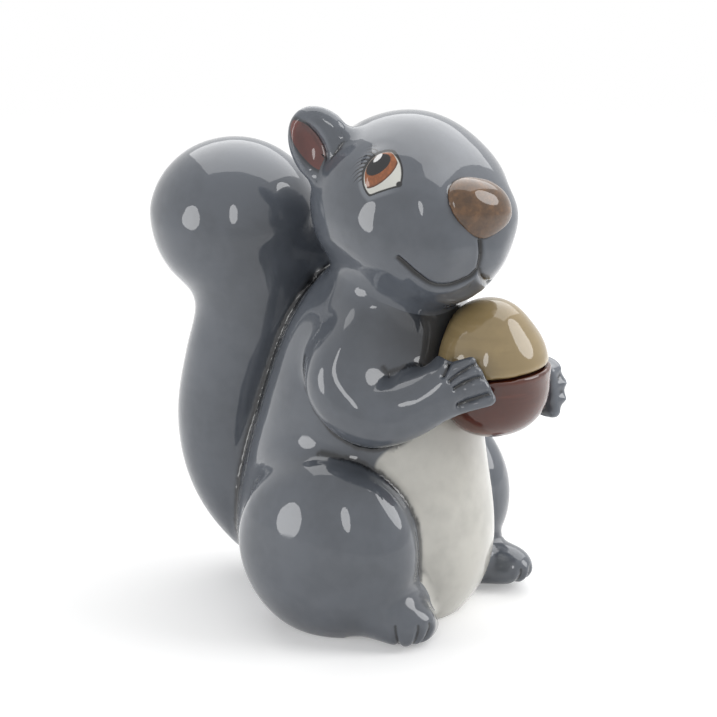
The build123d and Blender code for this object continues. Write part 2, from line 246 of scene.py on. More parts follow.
def vertex_array(mesh, what="co"):
    values = np.empty(len(mesh.vertices) * 3, np.float32)
    mesh.vertices.foreach_get(what, values)
    return values.reshape(-1, 3).astype(float)


def edge_array(mesh):
    values = np.empty(len(mesh.edges) * 2, np.int32)
    mesh.edges.foreach_get("vertices", values)
    return values.reshape(-1, 2)


def set_places(mesh, places):
    mesh.vertices.foreach_set("co", places.astype(np.float32).ravel())
    mesh.update()


def store(mesh, name, values):
    layer = mesh.attributes.new(name, "FLOAT", "POINT")
    layer.data.foreach_set("value", values.astype(np.float32))


def smoothstep(values, low, high):
    share = np.clip((values - low) / (high - low), 0, 1)
    return share * share * (3 - 2 * share)


def relax(values, edges, weights, rounds):
    """Draws each point's values towards the middle of its neighbours', by its weight."""
    moving = weights > 0.002
    used = edges[moving[edges].any(axis=1)]
    if not len(used):
        return values
    points, local = np.unique(used, return_inverse=True)
    a, b = local.reshape(-1, 2).T
    count = len(points)
    valence = (np.bincount(a, minlength=count) + np.bincount(b, minlength=count))[:, None]
    share = (0.5 * weights[points] * moving[points])[:, None]
    part = values[points]
    for step in range(rounds):
        mean = np.stack([
            np.bincount(a, part[b, k], count) + np.bincount(b, part[a, k], count)
            for k in range(part.shape[1])
        ], axis=1) / valence
        part += share * (mean - part)
    result = values.copy()
    result[points] = part
    return result


def distance_to(places, marks, reach):
    """Distance of each place to the nearest mark, where it is within reach."""
    result = np.full(len(places), 2.0 * reach)
    if not len(marks):
        return result
    tree = KDTree(len(marks))
    for index, mark in enumerate(marks):
        tree.insert(mark, index)
    tree.balance()
    low = np.min(marks, axis=0) - reach
    high = np.max(marks, axis=0) + reach
    near = np.flatnonzero(((places > low) & (places < high)).all(axis=1))
    result[near] = [tree.find(places[index])[2] for index in near]
    return result


def trace(points, steps=12):
    """Points along a smooth line through the given places."""
    knots = [Vector(point) for point in points]
    knots = [2 * knots[0] - knots[1]] + knots + [2 * knots[-1] - knots[-2]]
    line = []
    for p0, p1, p2, p3 in zip(knots, knots[1:], knots[2:], knots[3:]):
        for step in range(steps):
            t = step / steps
            line.append(0.5 * (
                2 * p1 + (p2 - p0) * t + (2 * p0 - 5 * p1 + 4 * p2 - p3) * t * t
                + (3 * p1 - p0 - 3 * p2 + p3) * t ** 3
            ))
    line.append(knots[-2])
    return np.array([tuple(mark) for mark in line])


def merged_copy(names, swell):
    """Copies of castings in one bmesh, each merged and swollen a little."""
    joined = bmesh.new()
    for number, name in enumerate(names):
        part = bmesh.new()
        part.from_mesh(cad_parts[name].data)
        bmesh.ops.remove_doubles(part, verts=part.verts, dist=2e-6)
        part.normal_update()
        for vert in part.verts:
            vert.co += vert.normal * swell
        for face in part.faces:
            face.material_index = number
        mesh = bpy.data.meshes.new(name)
        part.to_mesh(mesh)
        part.free()
        joined.from_mesh(mesh)
        bpy.data.meshes.remove(mesh)
    return joined


def add_clay(joined):
    """Adds the clay to the joined castings, as part of the casting it belongs to."""
    for name, place, half, turn in CLAY:
        turned = Matrix.Rotation(math.radians(turn), 3, "Z")
        shape = Matrix.LocRotScale(Vector(place) * MM, turned, Vector(half) * MM)
        ball = bmesh.ops.create_icosphere(joined, subdivisions=4, radius=1.0, matrix=shape)
        for face in {face for vert in ball["verts"] for face in vert.link_faces}:
            face.material_index = CASTINGS.index(name)


def remeshed(joined, name, voxel):
    """One even mesh round everything in a bmesh, without what is shut inside it."""
    mesh = bpy.data.meshes.new(name)
    joined.to_mesh(mesh)
    joined.free()
    thing = bpy.data.objects.new(name, mesh)
    bpy.context.scene.collection.objects.link(thing)
    remesh = thing.modifiers.new("remesh", "REMESH")
    remesh.mode = "VOXEL"
    remesh.voxel_size = voxel
    graph = bpy.context.evaluated_depsgraph_get()
    result = bpy.data.meshes.new_from_object(thing.evaluated_get(graph))
    bpy.data.objects.remove(thing)
    bpy.data.meshes.remove(mesh)
    shell = bmesh.new()
    shell.from_mesh(result)
    drop_inner_shells(shell)
    shell.to_mesh(result)
    shell.free()
    result.name = name
    result.shade_smooth()
    return result


def drop_inner_shells(shell):
    """Keeps the connected surface with the most points."""
    shell.verts.ensure_lookup_table()
    group = [-1] * len(shell.verts)
    sizes = []
    for start in shell.verts:
        if group[start.index] >= 0:
            continue
        mark = len(sizes)
        group[start.index] = mark
        stack = [start]
        size = 0
        while stack:
            vert = stack.pop()
            size += 1
            for edge in vert.link_edges:
                other = edge.other_vert(vert)
                if group[other.index] < 0:
                    group[other.index] = mark
                    stack.append(other)
        sizes.append(size)
    keep = sizes.index(max(sizes))
    stray = [vert for vert in shell.verts if group[vert.index] != keep]
    bmesh.ops.delete(shell, geom=stray, context="VERTS")


class Owners:
    """Tells which casting a place lies on."""

    def __init__(self, names):
        joined = merged_copy(names, 0)
        if names == CASTINGS:
            add_clay(joined)
        joined.faces.ensure_lookup_table()
        self.numbers = [face.material_index for face in joined.faces]
        self.tree = BVHTree.FromBMesh(joined)
        self.count = len(names)
        joined.free()

    def at(self, places, edges):
        """The casting's number at each place, with its borders evened out."""
        owners = np.array([self.numbers[self.tree.find_nearest(place)[2]] for place in places])
        border = np.zeros(len(places))
        border[edges[owners[edges[:, 0]] != owners[edges[:, 1]]].ravel()] = 1
        for ring in range(5):
            border[edges[border[edges].any(axis=1)].ravel()] = 1
        shares = relax(np.eye(self.count)[owners], edges, border, 14)
        return shares.argmax(axis=1)


def seam_marks(places, edges, owners, one, others):
    """Points where one casting meets any of the others."""
    pair = owners[edges]
    first = CASTINGS.index(one)
    second = [CASTINGS.index(name) for name in others]
    meets = ((pair[:, 0] == first) & np.isin(pair[:, 1], second)) | (
        (pair[:, 1] == first) & np.isin(pair[:, 0], second)
    )
    return places[np.unique(edges[meets])]


# Modelling of the common skin


def soften_joints(places, edges, owners, sizes):
    """Runs the castings into each other where the modelling hides the joint."""
    places = relax(places, edges, np.ones(len(places)), 4)

    # The throat runs into the chest, and the nape keeps a slight crease
    neck = seam_marks(places, edges, owners, "head", ["torso"])
    reach = distance_to(places, neck, sizes.neck_blend)
    throat = 1 - smoothstep(reach, 0.3 * sizes.neck_blend, sizes.neck_blend)
    throat *= 1 - 0.9 * smoothstep(places[:, 1], -0.022, 0.004)
    places = relax(places, edges, throat, sizes.neck_rounds)

    # The tail's stalk swells into its ball
    tail = owners == CASTINGS.index("tail")
    groove = distance_to(places, seam_marks(places, edges, owners, "tail", ["torso", "head"]), 9 * MM)
    waist = smoothstep(places[:, 2], 0.080, 0.095) * (1 - smoothstep(places[:, 2], 0.116, 0.130))
    waist *= tail * smoothstep(groove, 1.5 * MM, 8 * MM)
    places = relax(places, edges, waist, 220)

    for side in ("right", "left"):
        arm = seam_marks(places, edges, owners, f"{side}_arm", ["torso", "head"])
        arm = arm[arm[:, 2] > 0.084]
        shoulder = 1 - smoothstep(distance_to(places, arm, 18 * MM), 7 * MM, 18 * MM)
        shoulder *= smoothstep(places[:, 2], 0.080, 0.096)
        places = relax(places, edges, shoulder, 420)

        hip = seam_marks(places, edges, owners, f"{side}_haunch", ["torso"])
        hip = hip[hip[:, 1] > 0.0]
        back = 1 - smoothstep(distance_to(places, hip, 14 * MM), 4 * MM, 14 * MM)
        back *= smoothstep(places[:, 1], -0.002, 0.016)
        places = relax(places, edges, back, 240)

        ear = seam_marks(places, edges, owners, f"{side}_ear", ["head"])
        root = 1 - smoothstep(distance_to(places, ear, 6 * MM), 1.0 * MM, 6 * MM)
        places = relax(places, edges, root, 60)

        foot = seam_marks(places, edges, owners, f"{side}_foot", [f"{side}_haunch", "torso", "belly"])
        instep = 1 - smoothstep(distance_to(places, foot, 3 * MM), 0.8 * MM, 3 * MM)
        places = relax(places, edges, instep, 12)
        paw = 1 - smoothstep(distance_to(places, places[owners == CASTINGS.index(f"{side}_foot")], 4 * MM),
                             0.5 * MM, 4 * MM)
        places = relax(places, edges, paw, 170)

        hand = (owners == CASTINGS.index(f"{side}_arm")) * smoothstep(-places[:, 1], 0.032, 0.040)
        places = relax(places, edges, hand, 26 if side == "right" else 14)

        eye = seam_marks(places, edges, owners, f"{side}_eye", ["head"])
        lids = 1 - smoothstep(distance_to(places, eye, 3 * MM), 1.5 * MM, 3 * MM)
        places = relax(places, edges, lids, 14)

    belly = distance_to(places, seam_marks(places, edges, owners, "belly", ["torso"]), 4 * MM)
    places = relax(places, edges, 1 - smoothstep(belly, 2 * MM, 4 * MM), 12)

    # The deep grooves at the tail, the haunches and the feet are drawn out evenly
    for one, others in (("tail", ["torso", "head", "right_haunch", "left_haunch"]),
                        ("right_haunch", ["torso", "belly", "right_foot", "right_arm"]),
                        ("left_haunch", ["torso", "belly", "left_foot", "left_arm"]),
                        ("right_foot", ["torso", "belly"]), ("left_foot", ["torso", "belly"])):
        groove = distance_to(places, seam_marks(places, edges, owners, one, others), 4 * MM)
        places = relax(places, edges, 1 - smoothstep(groove, 1.5 * MM, 4 * MM), 30)
    return places


def shape_face(places, normals):
    """Raises the muzzle's pads and cheeks, and draws in the hollows between them."""
    raised = np.zeros(len(places))
    for forward, out, up, radius, height in FACE_FORMS:
        for side in (-1, 1):
            middle = np.array(on_head(forward, side * out, up))
            away = np.linalg.norm(places - middle, axis=1)
            raised += height * MM * np.exp(-((away / (radius * MM)) ** 2))
    return places + normals * raised[:, None]


def roll_ears(places, edges):
    """Rolls the front of each ear's rim over, so that the scoop left open is a narrow oval."""
    local = (places - np.array(HEAD_PLACE)) @ np.array(HEAD_TURN) / MM
    side = np.sign(local[:, 0])
    local[:, 0] *= side
    away = local - np.array(EAR_MIDDLE)
    reaches = np.array([away @ np.array(way) for way in (EAR_OPENING, EAR_ACROSS, EAR_AXIS)])
    opening, across, axis = reaches
    cup = np.sqrt(((reaches.T / EAR_CUP) ** 2).sum(axis=1))
    (middle, half), (height, half_height) = EAR_OVAL
    oval = np.hypot((across - middle) / half, (axis - height) / half_height)
    inside = (1 - smoothstep(cup, 1.0, 1.12)) * smoothstep(opening, -5.6, -5.0)
    lift = np.maximum(0, -1.4 - opening) * smoothstep(oval, 1.0, 1.5) * inside * (across < middle)
    way = np.array(HEAD_TURN) @ np.array([np.array(EAR_OPENING)]).T
    mirror = np.array(HEAD_TURN) @ np.array([[-EAR_OPENING.x, EAR_OPENING.y, EAR_OPENING.z]]).T
    ways = np.where(side[:, None] > 0, way.T, mirror.T)
    rolled = places + ways * (lift * MM)[:, None]
    return relax(rolled, edges, smoothstep(lift, 0.0, 0.3) * smoothstep(oval, 1.0, 1.3), 12)


def paw_marks(tree):
    """Places along the grooves between toes and fingers, laid on the surface."""
    lines = []
    for number, turns in TOES.items():
        _, place, half, turn = CLAY[number]
        turned = Matrix.Rotation(math.radians(turn), 3, "Z")
        for around in turns:
            ways = [Vector((
                half[0] * math.cos(math.radians(around)) * math.cos(math.radians(rise)),
                -half[1] * math.sin(math.radians(around)) * math.cos(math.radians(rise)),
                half[2] * math.sin(math.radians(rise)),
            )) for rise in (-70, -40, -15, 0, 14)]
            lines.append([(Vector(place) + turned @ way) * MM for way in ways])
    lines += [[Vector(point) * MM for point in points] for points in FINGERS]
    return np.array([tuple(tree.find_nearest(mark)[0]) for line in lines for mark in trace(line)])


def carve_lines(mesh, sizes):
    """Cuts the mouth and the grooves of the paws into finer patches of the skin."""
    mouth = trace([on_head(*point) for point in MOUTH])
    groove = trace([on_head(*point) for point in PHILTRUM])
    fine = bmesh.new()
    fine.from_mesh(mesh)
    paws = paw_marks(BVHTree.FromBMesh(fine))
    face = np.concatenate([mouth, groove])
    marks = np.concatenate([face, paws])
    near = distance_to(np.array([vert.co for vert in fine.verts]), marks, 4 * MM)
    inside = [patch for patch in fine.faces if max(near[vert.index] for vert in patch.verts) < 3.2 * MM]
    edges = list({edge for patch in inside for edge in patch.edges})
    bmesh.ops.subdivide_edges(fine, edges=edges, cuts=1, use_grid_fill=True)
    bmesh.ops.triangulate(fine, faces=[patch for patch in fine.faces if len(patch.verts) > 4])
    fine.to_mesh(mesh)
    fine.free()
    mesh.update()
    places = vertex_array(mesh)
    normals = vertex_array(mesh, "normal")
    near = distance_to(places, face, 4 * MM)
    toes = distance_to(places, paws, 4 * MM)
    # Fingers are grooved all along, and toes fade out towards the top of the paw
    cut = sizes.mouth_depth * np.exp(-((near / sizes.mouth_width) ** 2))
    cut += sizes.paw_depth * np.exp(-((toes / sizes.paw_width) ** 2)) * np.where(
        places[:, 2] > 0.03, 1.0, 0.8 * (1 - smoothstep(places[:, 2], 0.006, 0.011)))
    # The lower lip stands out under the mouth, away from its corners
    lip = mouth[18:-18] - np.array(HEAD_TURN.col[1]) * 3.2 * MM
    below = distance_to(places, lip, 6 * MM)
    pout = 0.9 * MM * np.exp(-((below / (2.2 * MM)) ** 2))
    set_places(mesh, places + normals * (pout - cut)[:, None])
    tree = Owners(["nose"]).tree
    head = np.flatnonzero(distance_to(places, [on_head(36, 0, -1)], 30 * MM) < 30 * MM)
    nose = np.full(len(places), 1.0)
    nose[head] = [tree.find_nearest(place)[3] for place in places[head]]
    # The mouth's line is painted dark. The grooves between toes and fingers and a ring round the nose are
    # darkened too, as painted shade.
    lines = np.maximum(np.exp(-((near / (1.05 * MM)) ** 2)), 0.6 * np.exp(-((toes / (0.7 * MM)) ** 2)))
    store(mesh, "line", np.maximum(lines, 0.75 * np.exp(-((nose / (0.7 * MM)) ** 2))))


def shade_creases(mesh, owners):
    """Paints shade into the deep creases between the castings, as dark lines."""
    places = vertex_array(mesh)
    edges = edge_array(mesh)
    marks = [seam_marks(places, edges, owners, "tail", ["torso", "head"])]
    for side in ("right", "left"):
        haunch = seam_marks(places, edges, owners, f"{side}_haunch", ["torso", "belly", f"{side}_arm"])
        arm = seam_marks(places, edges, owners, f"{side}_arm", ["torso", "belly"])
        marks += [haunch[haunch[:, 1] < 0.002], arm[arm[:, 2] < 0.092]]
    crease = distance_to(places, np.concatenate(marks), 4 * MM)
    lines = np.empty(len(places), np.float32)
    mesh.attributes["line"].data.foreach_get("value", lines)
    # Painted shade: a dark line along the deep creases at the tail, haunches and arms.
    lines = np.maximum(lines, 0.62 * np.exp(-((crease / (1.1 * MM)) ** 2)))
    mesh.attributes["line"].data.foreach_set("value", lines.astype(np.float32))


def mark_glaze(mesh):
    """Stores how the surface bends: where glaze pools and shade is painted in creases and hollows, and
    where the glaze runs thinner and a highlight is painted on edges.
    """
    places = vertex_array(mesh)
    normals = vertex_array(mesh, "normal")
    edges = edge_array(mesh)
    plain = np.ones(len(places))
    close = relax(places, edges, plain, 10)
    wide = relax(close, edges, plain, 60)
    # The close measure darkens creases, with pooled glaze and painted shade, and pales edges, with thinner
    # glaze and a painted highlight. The wide measure paints shade in hollows.
    store(mesh, "pool", ((close - places) * normals).sum(1) / MM)
    store(mesh, "hollow", ((wide - places) * normals).sum(1) / MM)


def even_borders(skin, owners):
    """Gives each face to a casting, with no stray faces and no two faces that meet in one point."""
    skin.faces.ensure_lookup_table()
    for face in skin.faces:
        face.material_index = int(owners[face.verts[0].index])
    border = [edge for edge in skin.edges if len({face.material_index for face in edge.link_faces}) > 1]
    near = {face for edge in border for vert in edge.verts for face in vert.link_faces}
    for ring in range(3):
        near |= {face for known in list(near) for vert in known.verts for face in vert.link_faces}
    near = sorted(near, key=lambda face: face.index)
    verts = sorted({vert for face in near for vert in face.verts}, key=lambda vert: vert.index)
    for turn in range(12):
        changed = False
        for face in near:
            beside = [
                other.material_index for edge in face.edges for other in edge.link_faces if other != face
            ]
            if 2 * beside.count(face.material_index) < len(beside):
                face.material_index = max(sorted(set(beside)), key=beside.count)
                changed = True
        for vert in verts:
            fans = face_groups(vert.link_faces, vert.link_edges)
            seen = {}
            for fan in sorted(fans, key=len, reverse=True):
                label = fan[0].material_index
                if label in seen:
                    for face in fan:
                        face.material_index = seen["first"]
                    changed = True
                seen.setdefault("first", label)
                seen[label] = True
        if not changed:
            break
    groups = face_groups(skin.faces, None)
    largest = {}
    for group in sorted(groups, key=len, reverse=True):
        label = group[0].material_index
        if label in largest:
            beside = [
                other.material_index for face in group for edge in face.edges for other in edge.link_faces
                if other.material_index != label
            ]
            for face in group:
                face.material_index = max(sorted(set(beside)), key=beside.count)
        largest[label] = True


def smooth_borders(mesh):
    """Draws the castings' borders as smooth lines on the skin."""
    labels = np.empty(len(mesh.polygons), np.int32)
    mesh.polygons.foreach_get("material_index", labels)
    total = np.empty(len(mesh.polygons), np.int32)
    mesh.polygons.foreach_get("loop_total", total)
    sides = np.empty(len(mesh.loops), np.int32)
    mesh.loops.foreach_get("edge_index", sides)
    owner = np.repeat(labels, total)
    low = np.full(len(mesh.edges), 99)
    high = np.full(len(mesh.edges), -1)
    np.minimum.at(low, sides, owner)
    np.maximum.at(high, sides, owner)
    places = vertex_array(mesh)
    edges = edge_array(mesh)[low != high]
    set_places(mesh, relax(places, edges, np.ones(len(places)), 24))


def face_groups(faces, edges):
    """Groups of faces of one casting that meet along edges, within the given faces."""
    left = set(faces)
    allowed = None if edges is None else set(edges)
    groups = []
    for start in faces:
        if start not in left:
            continue
        left.remove(start)
        group = [start]
        for face in group:
            for edge in face.edges:
                if allowed is not None and edge not in allowed:
                    continue
                for other in edge.link_faces:
                    if other in left and other.material_index == start.material_index:
                        left.remove(other)
                        group.append(other)
        groups.append(group)
    return groups


def part_castings(mesh, owners, materials, wall):
    """Parts the common skin at the joints, so that each casting is a closed piece of its own."""
    normals = mesh.attributes.new("skin_normal", "FLOAT_VECTOR", "POINT")
    normals.data.foreach_set("vector", vertex_array(mesh, "normal").astype(np.float32).ravel())
    mesh.materials.clear()
    for name in CASTINGS:
        mesh.materials.append(bpy.data.materials.new(name))
    skin = bmesh.new()
    skin.from_mesh(mesh)
    even_borders(skin, owners)
    skin.to_mesh(mesh)
    skin.free()
    smooth_borders(mesh)
    thing = bpy.data.objects.new("castings", mesh)
    bpy.context.scene.collection.objects.link(thing)
    bpy.context.view_layer.objects.active = thing
    for other in bpy.context.selected_objects:
        other.select_set(False)
    thing.select_set(True)
    bpy.ops.object.mode_set(mode="EDIT")
    bpy.ops.mesh.select_all(action="SELECT")
    bpy.ops.mesh.separate(type="MATERIAL")
    bpy.ops.object.mode_set(mode="OBJECT")
    for part in list(bpy.context.selected_objects):
        skin = part.data
        name = skin.materials[skin.polygons[0].material_index].name
        close_piece(skin, wall if name in HOLLOW else 0)
        add_piece(name + "_glazed", skin, [name], materials[name])
        bpy.data.objects.remove(part)
    for name in CASTINGS:
        bpy.data.materials.remove(bpy.data.materials[name])


def close_piece(skin, wall):
    """Gives a hollow casting its wall, or closes a solid one where it meets its neighbours."""
    part = bmesh.new()
    part.from_mesh(skin)
    for face in part.faces:
        face.material_index = 0
        face.smooth = True
    outer = list(part.faces)
    if wall:
        bmesh.ops.solidify(part, geom=outer, thickness=wall)
    else:
        rim = [edge for edge in part.edges if edge.is_boundary]
        caps = bmesh.ops.holes_fill(part, edges=rim, sides=0)["faces"]
        bmesh.ops.poke(part, faces=caps, center_mode="MEAN")
    outer = set(outer)
    for face in part.faces:
        face.smooth = face in outer
    for vert in part.verts:
        vert.co.z = max(vert.co.z, 0.1 * MM)
    part.to_mesh(skin)
    part.free()
    values = np.empty(len(skin.vertices) * 3, np.float32)
    skin.attributes["skin_normal"].data.foreach_get("vector", values)
    corners = np.empty(len(skin.loops), np.int32)
    skin.loops.foreach_get("vertex_index", corners)
    smooth = np.array([polygon.use_smooth for polygon in skin.polygons])
    total = np.array([polygon.loop_total for polygon in skin.polygons])
    normals = values.reshape(-1, 3)[corners] * np.repeat(smooth, total)[:, None]
    skin.attributes.remove(skin.attributes["skin_normal"])
    skin.normals_split_custom_set(normals.tolist())


def add_piece(name, mesh, nodes, material):
    """Puts a finished mesh in the scene in place of castings."""
    mesh.name = name
    mesh.materials.clear()
    mesh.materials.append(material)
    piece = bpy.data.objects.new(name, mesh)
    bpy.context.scene.collection.objects.link(piece)
    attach(piece, "root")
    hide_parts(*nodes)
    return piece


def add_rounded(node_name, voxel, rounds, material, swell=0.0):
    """A casting with its edges rounded by the glaze."""
    mesh = remeshed(merged_copy([node_name], swell * MM), node_name, voxel * MM)
    places = vertex_array(mesh)
    set_places(mesh, relax(places, edge_array(mesh), np.ones(len(places)), rounds))
    mark_glaze(mesh)
    return add_piece(node_name + "_glazed", mesh, [node_name], material)


# Materials


def add(tree, kind, *inputs, named=None, out=None, **settings):
    """Adds a node with its settings, sets or links its inputs in order and by name, and gives an output."""
    made = tree.nodes.new("ShaderNode" + kind)
    for key, value in settings.items():
        setattr(made, key, value)
    pairs = list(zip([socket for socket in made.inputs if socket.enabled], inputs))
    pairs += [(made.inputs[key], value) for key, value in (named or {}).items()]
    for socket, value in pairs:
        if isinstance(value, bpy.types.NodeSocket):
            tree.links.new(value, socket)
        else:
            socket.default_value = value
    if out:
        return made.outputs[out]
    return next((socket for socket in made.outputs if socket.enabled), None)


def along(tree, place, direction, start=0.0):
    """How far a place lies along a direction."""
    reach = add(tree, "VectorMath", place, tuple(direction), operation="DOT_PRODUCT")
    return add(tree, "Math", reach, start, operation="SUBTRACT")


def spread(tree, *reaches):
    """Length of the vector that the given reaches make."""
    vector = add(tree, "CombineXYZ", *reaches)
    return add(tree, "VectorMath", vector, operation="LENGTH")


def new_material(name):
    material = bpy.data.materials.new(name)
    material.use_nodes = True
    material.node_tree.nodes.clear()
    return material, material.node_tree


def close_glaze(tree, colour_socket):
    """Clear, hard gloss glaze over fired colour: sharp reflections with a slight ripple."""
    ripple = add(
        tree, "TexNoise",
        named={"Vector": add(tree, "TexCoord", out="Object"), "Scale": 1 / (7 * MM), "Detail": 1.5},
    )
    bump = add(tree, "Bump", named={"Height": ripple, "Distance": 0.06 * MM, "Strength": 1.0})
    shader = add(
        tree, "BsdfPrincipled",
        named={
            "Base Color": colour_socket, "Roughness": 0.45, "IOR": 1.45, "Specular IOR Level": 0.1,
            "Coat Weight": 1.0, "Coat Roughness": 0.025, "Coat IOR": 1.57, "Normal": bump,
            "Coat Normal": bump,
        },
    )
    add(tree, "OutputMaterial", named={"Surface": shader})


def coat_colour(tree, colours, base, depth=1.0):
    """Fired colour that clouds a little, darkens with pooled glaze and painted shade in creases and
    hollows, and pales with thinner glaze and a painted highlight on edges.
    """
    place = add(tree, "TexCoord", out="Object")
    cloud = add(tree, "TexNoise", named={"Vector": place, "Scale": 1 / (24 * MM), "Detail": 3.0})
    brush = add(tree, "TexNoise", named={"Vector": place, "Scale": 1 / (5 * MM), "Detail": 2.0})
    cloudy = add(
        tree, "Math", add(tree, "Math", cloud, 0.75, operation="MULTIPLY"),
        add(tree, "Math", brush, 0.25, operation="MULTIPLY"), operation="ADD",
    )
    shade = tint(base, 0.82)
    tinted = add(
        tree, "Mix", add(tree, "MapRange", cloudy, 0.4, 0.66, interpolation_type="SMOOTHSTEP"), base, shade,
        data_type="RGBA",
    )
    # Painted shade: darker in creases, where glaze also pools, and across wide hollows.
    pool = add(tree, "Attribute", attribute_name="pool", out="Fac")
    deep = add(tree, "MapRange", pool, 0.02, 0.16, interpolation_type="SMOOTHSTEP")
    hollow_shade = add(
        tree, "MapRange", add(tree, "Attribute", attribute_name="hollow", out="Fac"), 0.1, 1.3, 0.0, 0.6,
        interpolation_type="SMOOTHSTEP",
    )
    dark = add(
        tree, "Math", add(tree, "Math", deep, hollow_shade, operation="MAXIMUM"), depth, operation="MULTIPLY"
    )
    pooled_and_shaded = add(tree, "Mix", dark, tinted, tuple(colours.pool), data_type="RGBA")
    # Painted highlight: paler over edges, where the glaze also runs thinner.
    edge = add(tree, "MapRange", pool, -0.03, -0.2, 0.0, 0.45 * depth, interpolation_type="SMOOTHSTEP")
    thin_and_highlight = tint(base, 1.5)
    coat = add(tree, "Mix", edge, pooled_and_shaded, thin_and_highlight, data_type="RGBA")
    # Dark brushed lines, with painted shade in the deep creases, the grooves of the paws and round the
    # nose.
    return add(
        tree, "Mix",
        add(
            tree, "MapRange", add(tree, "Attribute", attribute_name="line", out="Fac"), 0.15, 0.75,
            interpolation_type="SMOOTHSTEP",
        ),
        coat, tuple(colours.line), data_type="RGBA",
    )


def grey_with_chin_shade(tree, colours):
    """Grey, with painted shade under the chin."""
    grey = coat_colour(tree, colours, tuple(colours.grey))
    away = add(
        tree, "VectorMath", add(tree, "TexCoord", out="Object"), tuple(CHIN_SHADE_MIDDLE * MM), operation="DISTANCE"
    )
    # Painted shade under the chin, darkest near its middle.
    return add(
        tree, "Mix",
        add(tree, "MapRange", away, 28 * MM, 8 * MM, 0.0, 0.7, interpolation_type="SMOOTHSTEP"), grey,
        tuple(colours.pool), data_type="RGBA",
    )


def grey_glaze(colours):
    """The plain coat of arms, legs and tail."""
    material, tree = new_material("Grey underglaze under clear gloss")
    close_glaze(tree, grey_with_chin_shade(tree, colours))
    return material


def belly_glaze(colours):
    """Grey round a white oval. The brush leaves its border a little uneven."""
    material, tree = new_material("Grey and white underglaze under clear gloss")
    place = add(tree, "TexCoord", out="Object")
    wobble = add(tree, "TexNoise", named={"Vector": place, "Scale": 1 / (12 * MM)})
    height, half_width, half_height = BELLY_OVAL
    radius = spread(
        tree,
        along(tree, place, (1 / (half_width * MM), 0, 0)),
        along(tree, place, (0, 0, 1 / (half_height * MM)), height / half_height),
    )
    radius = add(
        tree, "Math", radius, add(tree, "Math", wobble, 0.04, operation="MULTIPLY"), operation="ADD"
    )
    front = add(tree, "Math", along(tree, place, (0, 1, 0)), -6 * MM, operation="LESS_THAN")
    oval = add(
        tree, "Math", add(tree, "MapRange", radius, 1.03, 1.005, interpolation_type="SMOOTHSTEP"), front,
        operation="MULTIPLY",
    )
    white = coat_colour(tree, colours, tuple(colours.white), 0.8)
    close_glaze(tree, add(tree, "Mix", oval, grey_with_chin_shade(tree, colours), white, data_type="RGBA"))
    return material


def head_place(tree):
    """The place in the head's own frame, in millimetres, with both sides laid over each other."""
    place = add(tree, "TexCoord", out="Object")
    axes = [HEAD_TURN.col[k] / MM for k in range(3)]
    reaches = [along(tree, place, axis, axis.dot(HEAD_PLACE)) for axis in axes]
    reaches[0] = add(tree, "Math", reaches[0], operation="ABSOLUTE")
    return add(tree, "CombineXYZ", *reaches)


def eye_plane(tree):
    """Forward and up in the plane of the eye's face, in millimetres from its middle."""
    out = EYE_MIDDLE.normalized()
    forward = (Vector((0, 0, 1)) - out * out.z).normalized()
    up = forward.cross(out)
    place = head_place(tree)
    return along(tree, place, forward, forward.dot(EYE_MIDDLE)), along(tree, place, up, up.dot(EYE_MIDDLE))


def painted_oval(tree, forward, up, middle, half_length, half_width, turn):
    """Distance from an oval's middle, 1 at its border."""
    c, s = math.cos(math.radians(turn)), math.sin(math.radians(turn))
    f = add(tree, "Math", forward, middle[0], operation="SUBTRACT")
    u = add(tree, "Math", up, middle[1], operation="SUBTRACT")
    lengthwise = add(
        tree, "Math", add(tree, "Math", f, c / half_length, operation="MULTIPLY"),
        add(tree, "Math", u, s / half_length, operation="MULTIPLY"), operation="ADD",
    )
    across = add(
        tree, "Math", add(tree, "Math", f, s / half_width, operation="MULTIPLY"),
        add(tree, "Math", u, -c / half_width, operation="MULTIPLY"), operation="ADD",
    )
    return spread(tree, lengthwise, across)


def lid_distance(tree, forward, up):
    """Distance outside the eye's opening, in millimetres."""
    parts = []
    for middle, radius in LID_CIRCLES:
        away = spread(
            tree, add(tree, "Math", forward, middle[0], operation="SUBTRACT"),
            add(tree, "Math", up, middle[1], operation="SUBTRACT"),
        )
        parts.append(add(tree, "Math", away, radius, operation="SUBTRACT"))
    (across, rise), offset = LOWER_LID
    below = add(
        tree, "Math", add(tree, "Math", forward, across, operation="MULTIPLY"),
        add(tree, "Math", up, rise, operation="MULTIPLY"), operation="ADD",
    )
    parts.append(add(tree, "Math", below, offset, operation="SUBTRACT"))
    outside = add(tree, "Math", parts[0], parts[1], 0.8, operation="SMOOTH_MAX")
    return add(tree, "Math", outside, parts[2], 0.8, operation="SMOOTH_MAX")


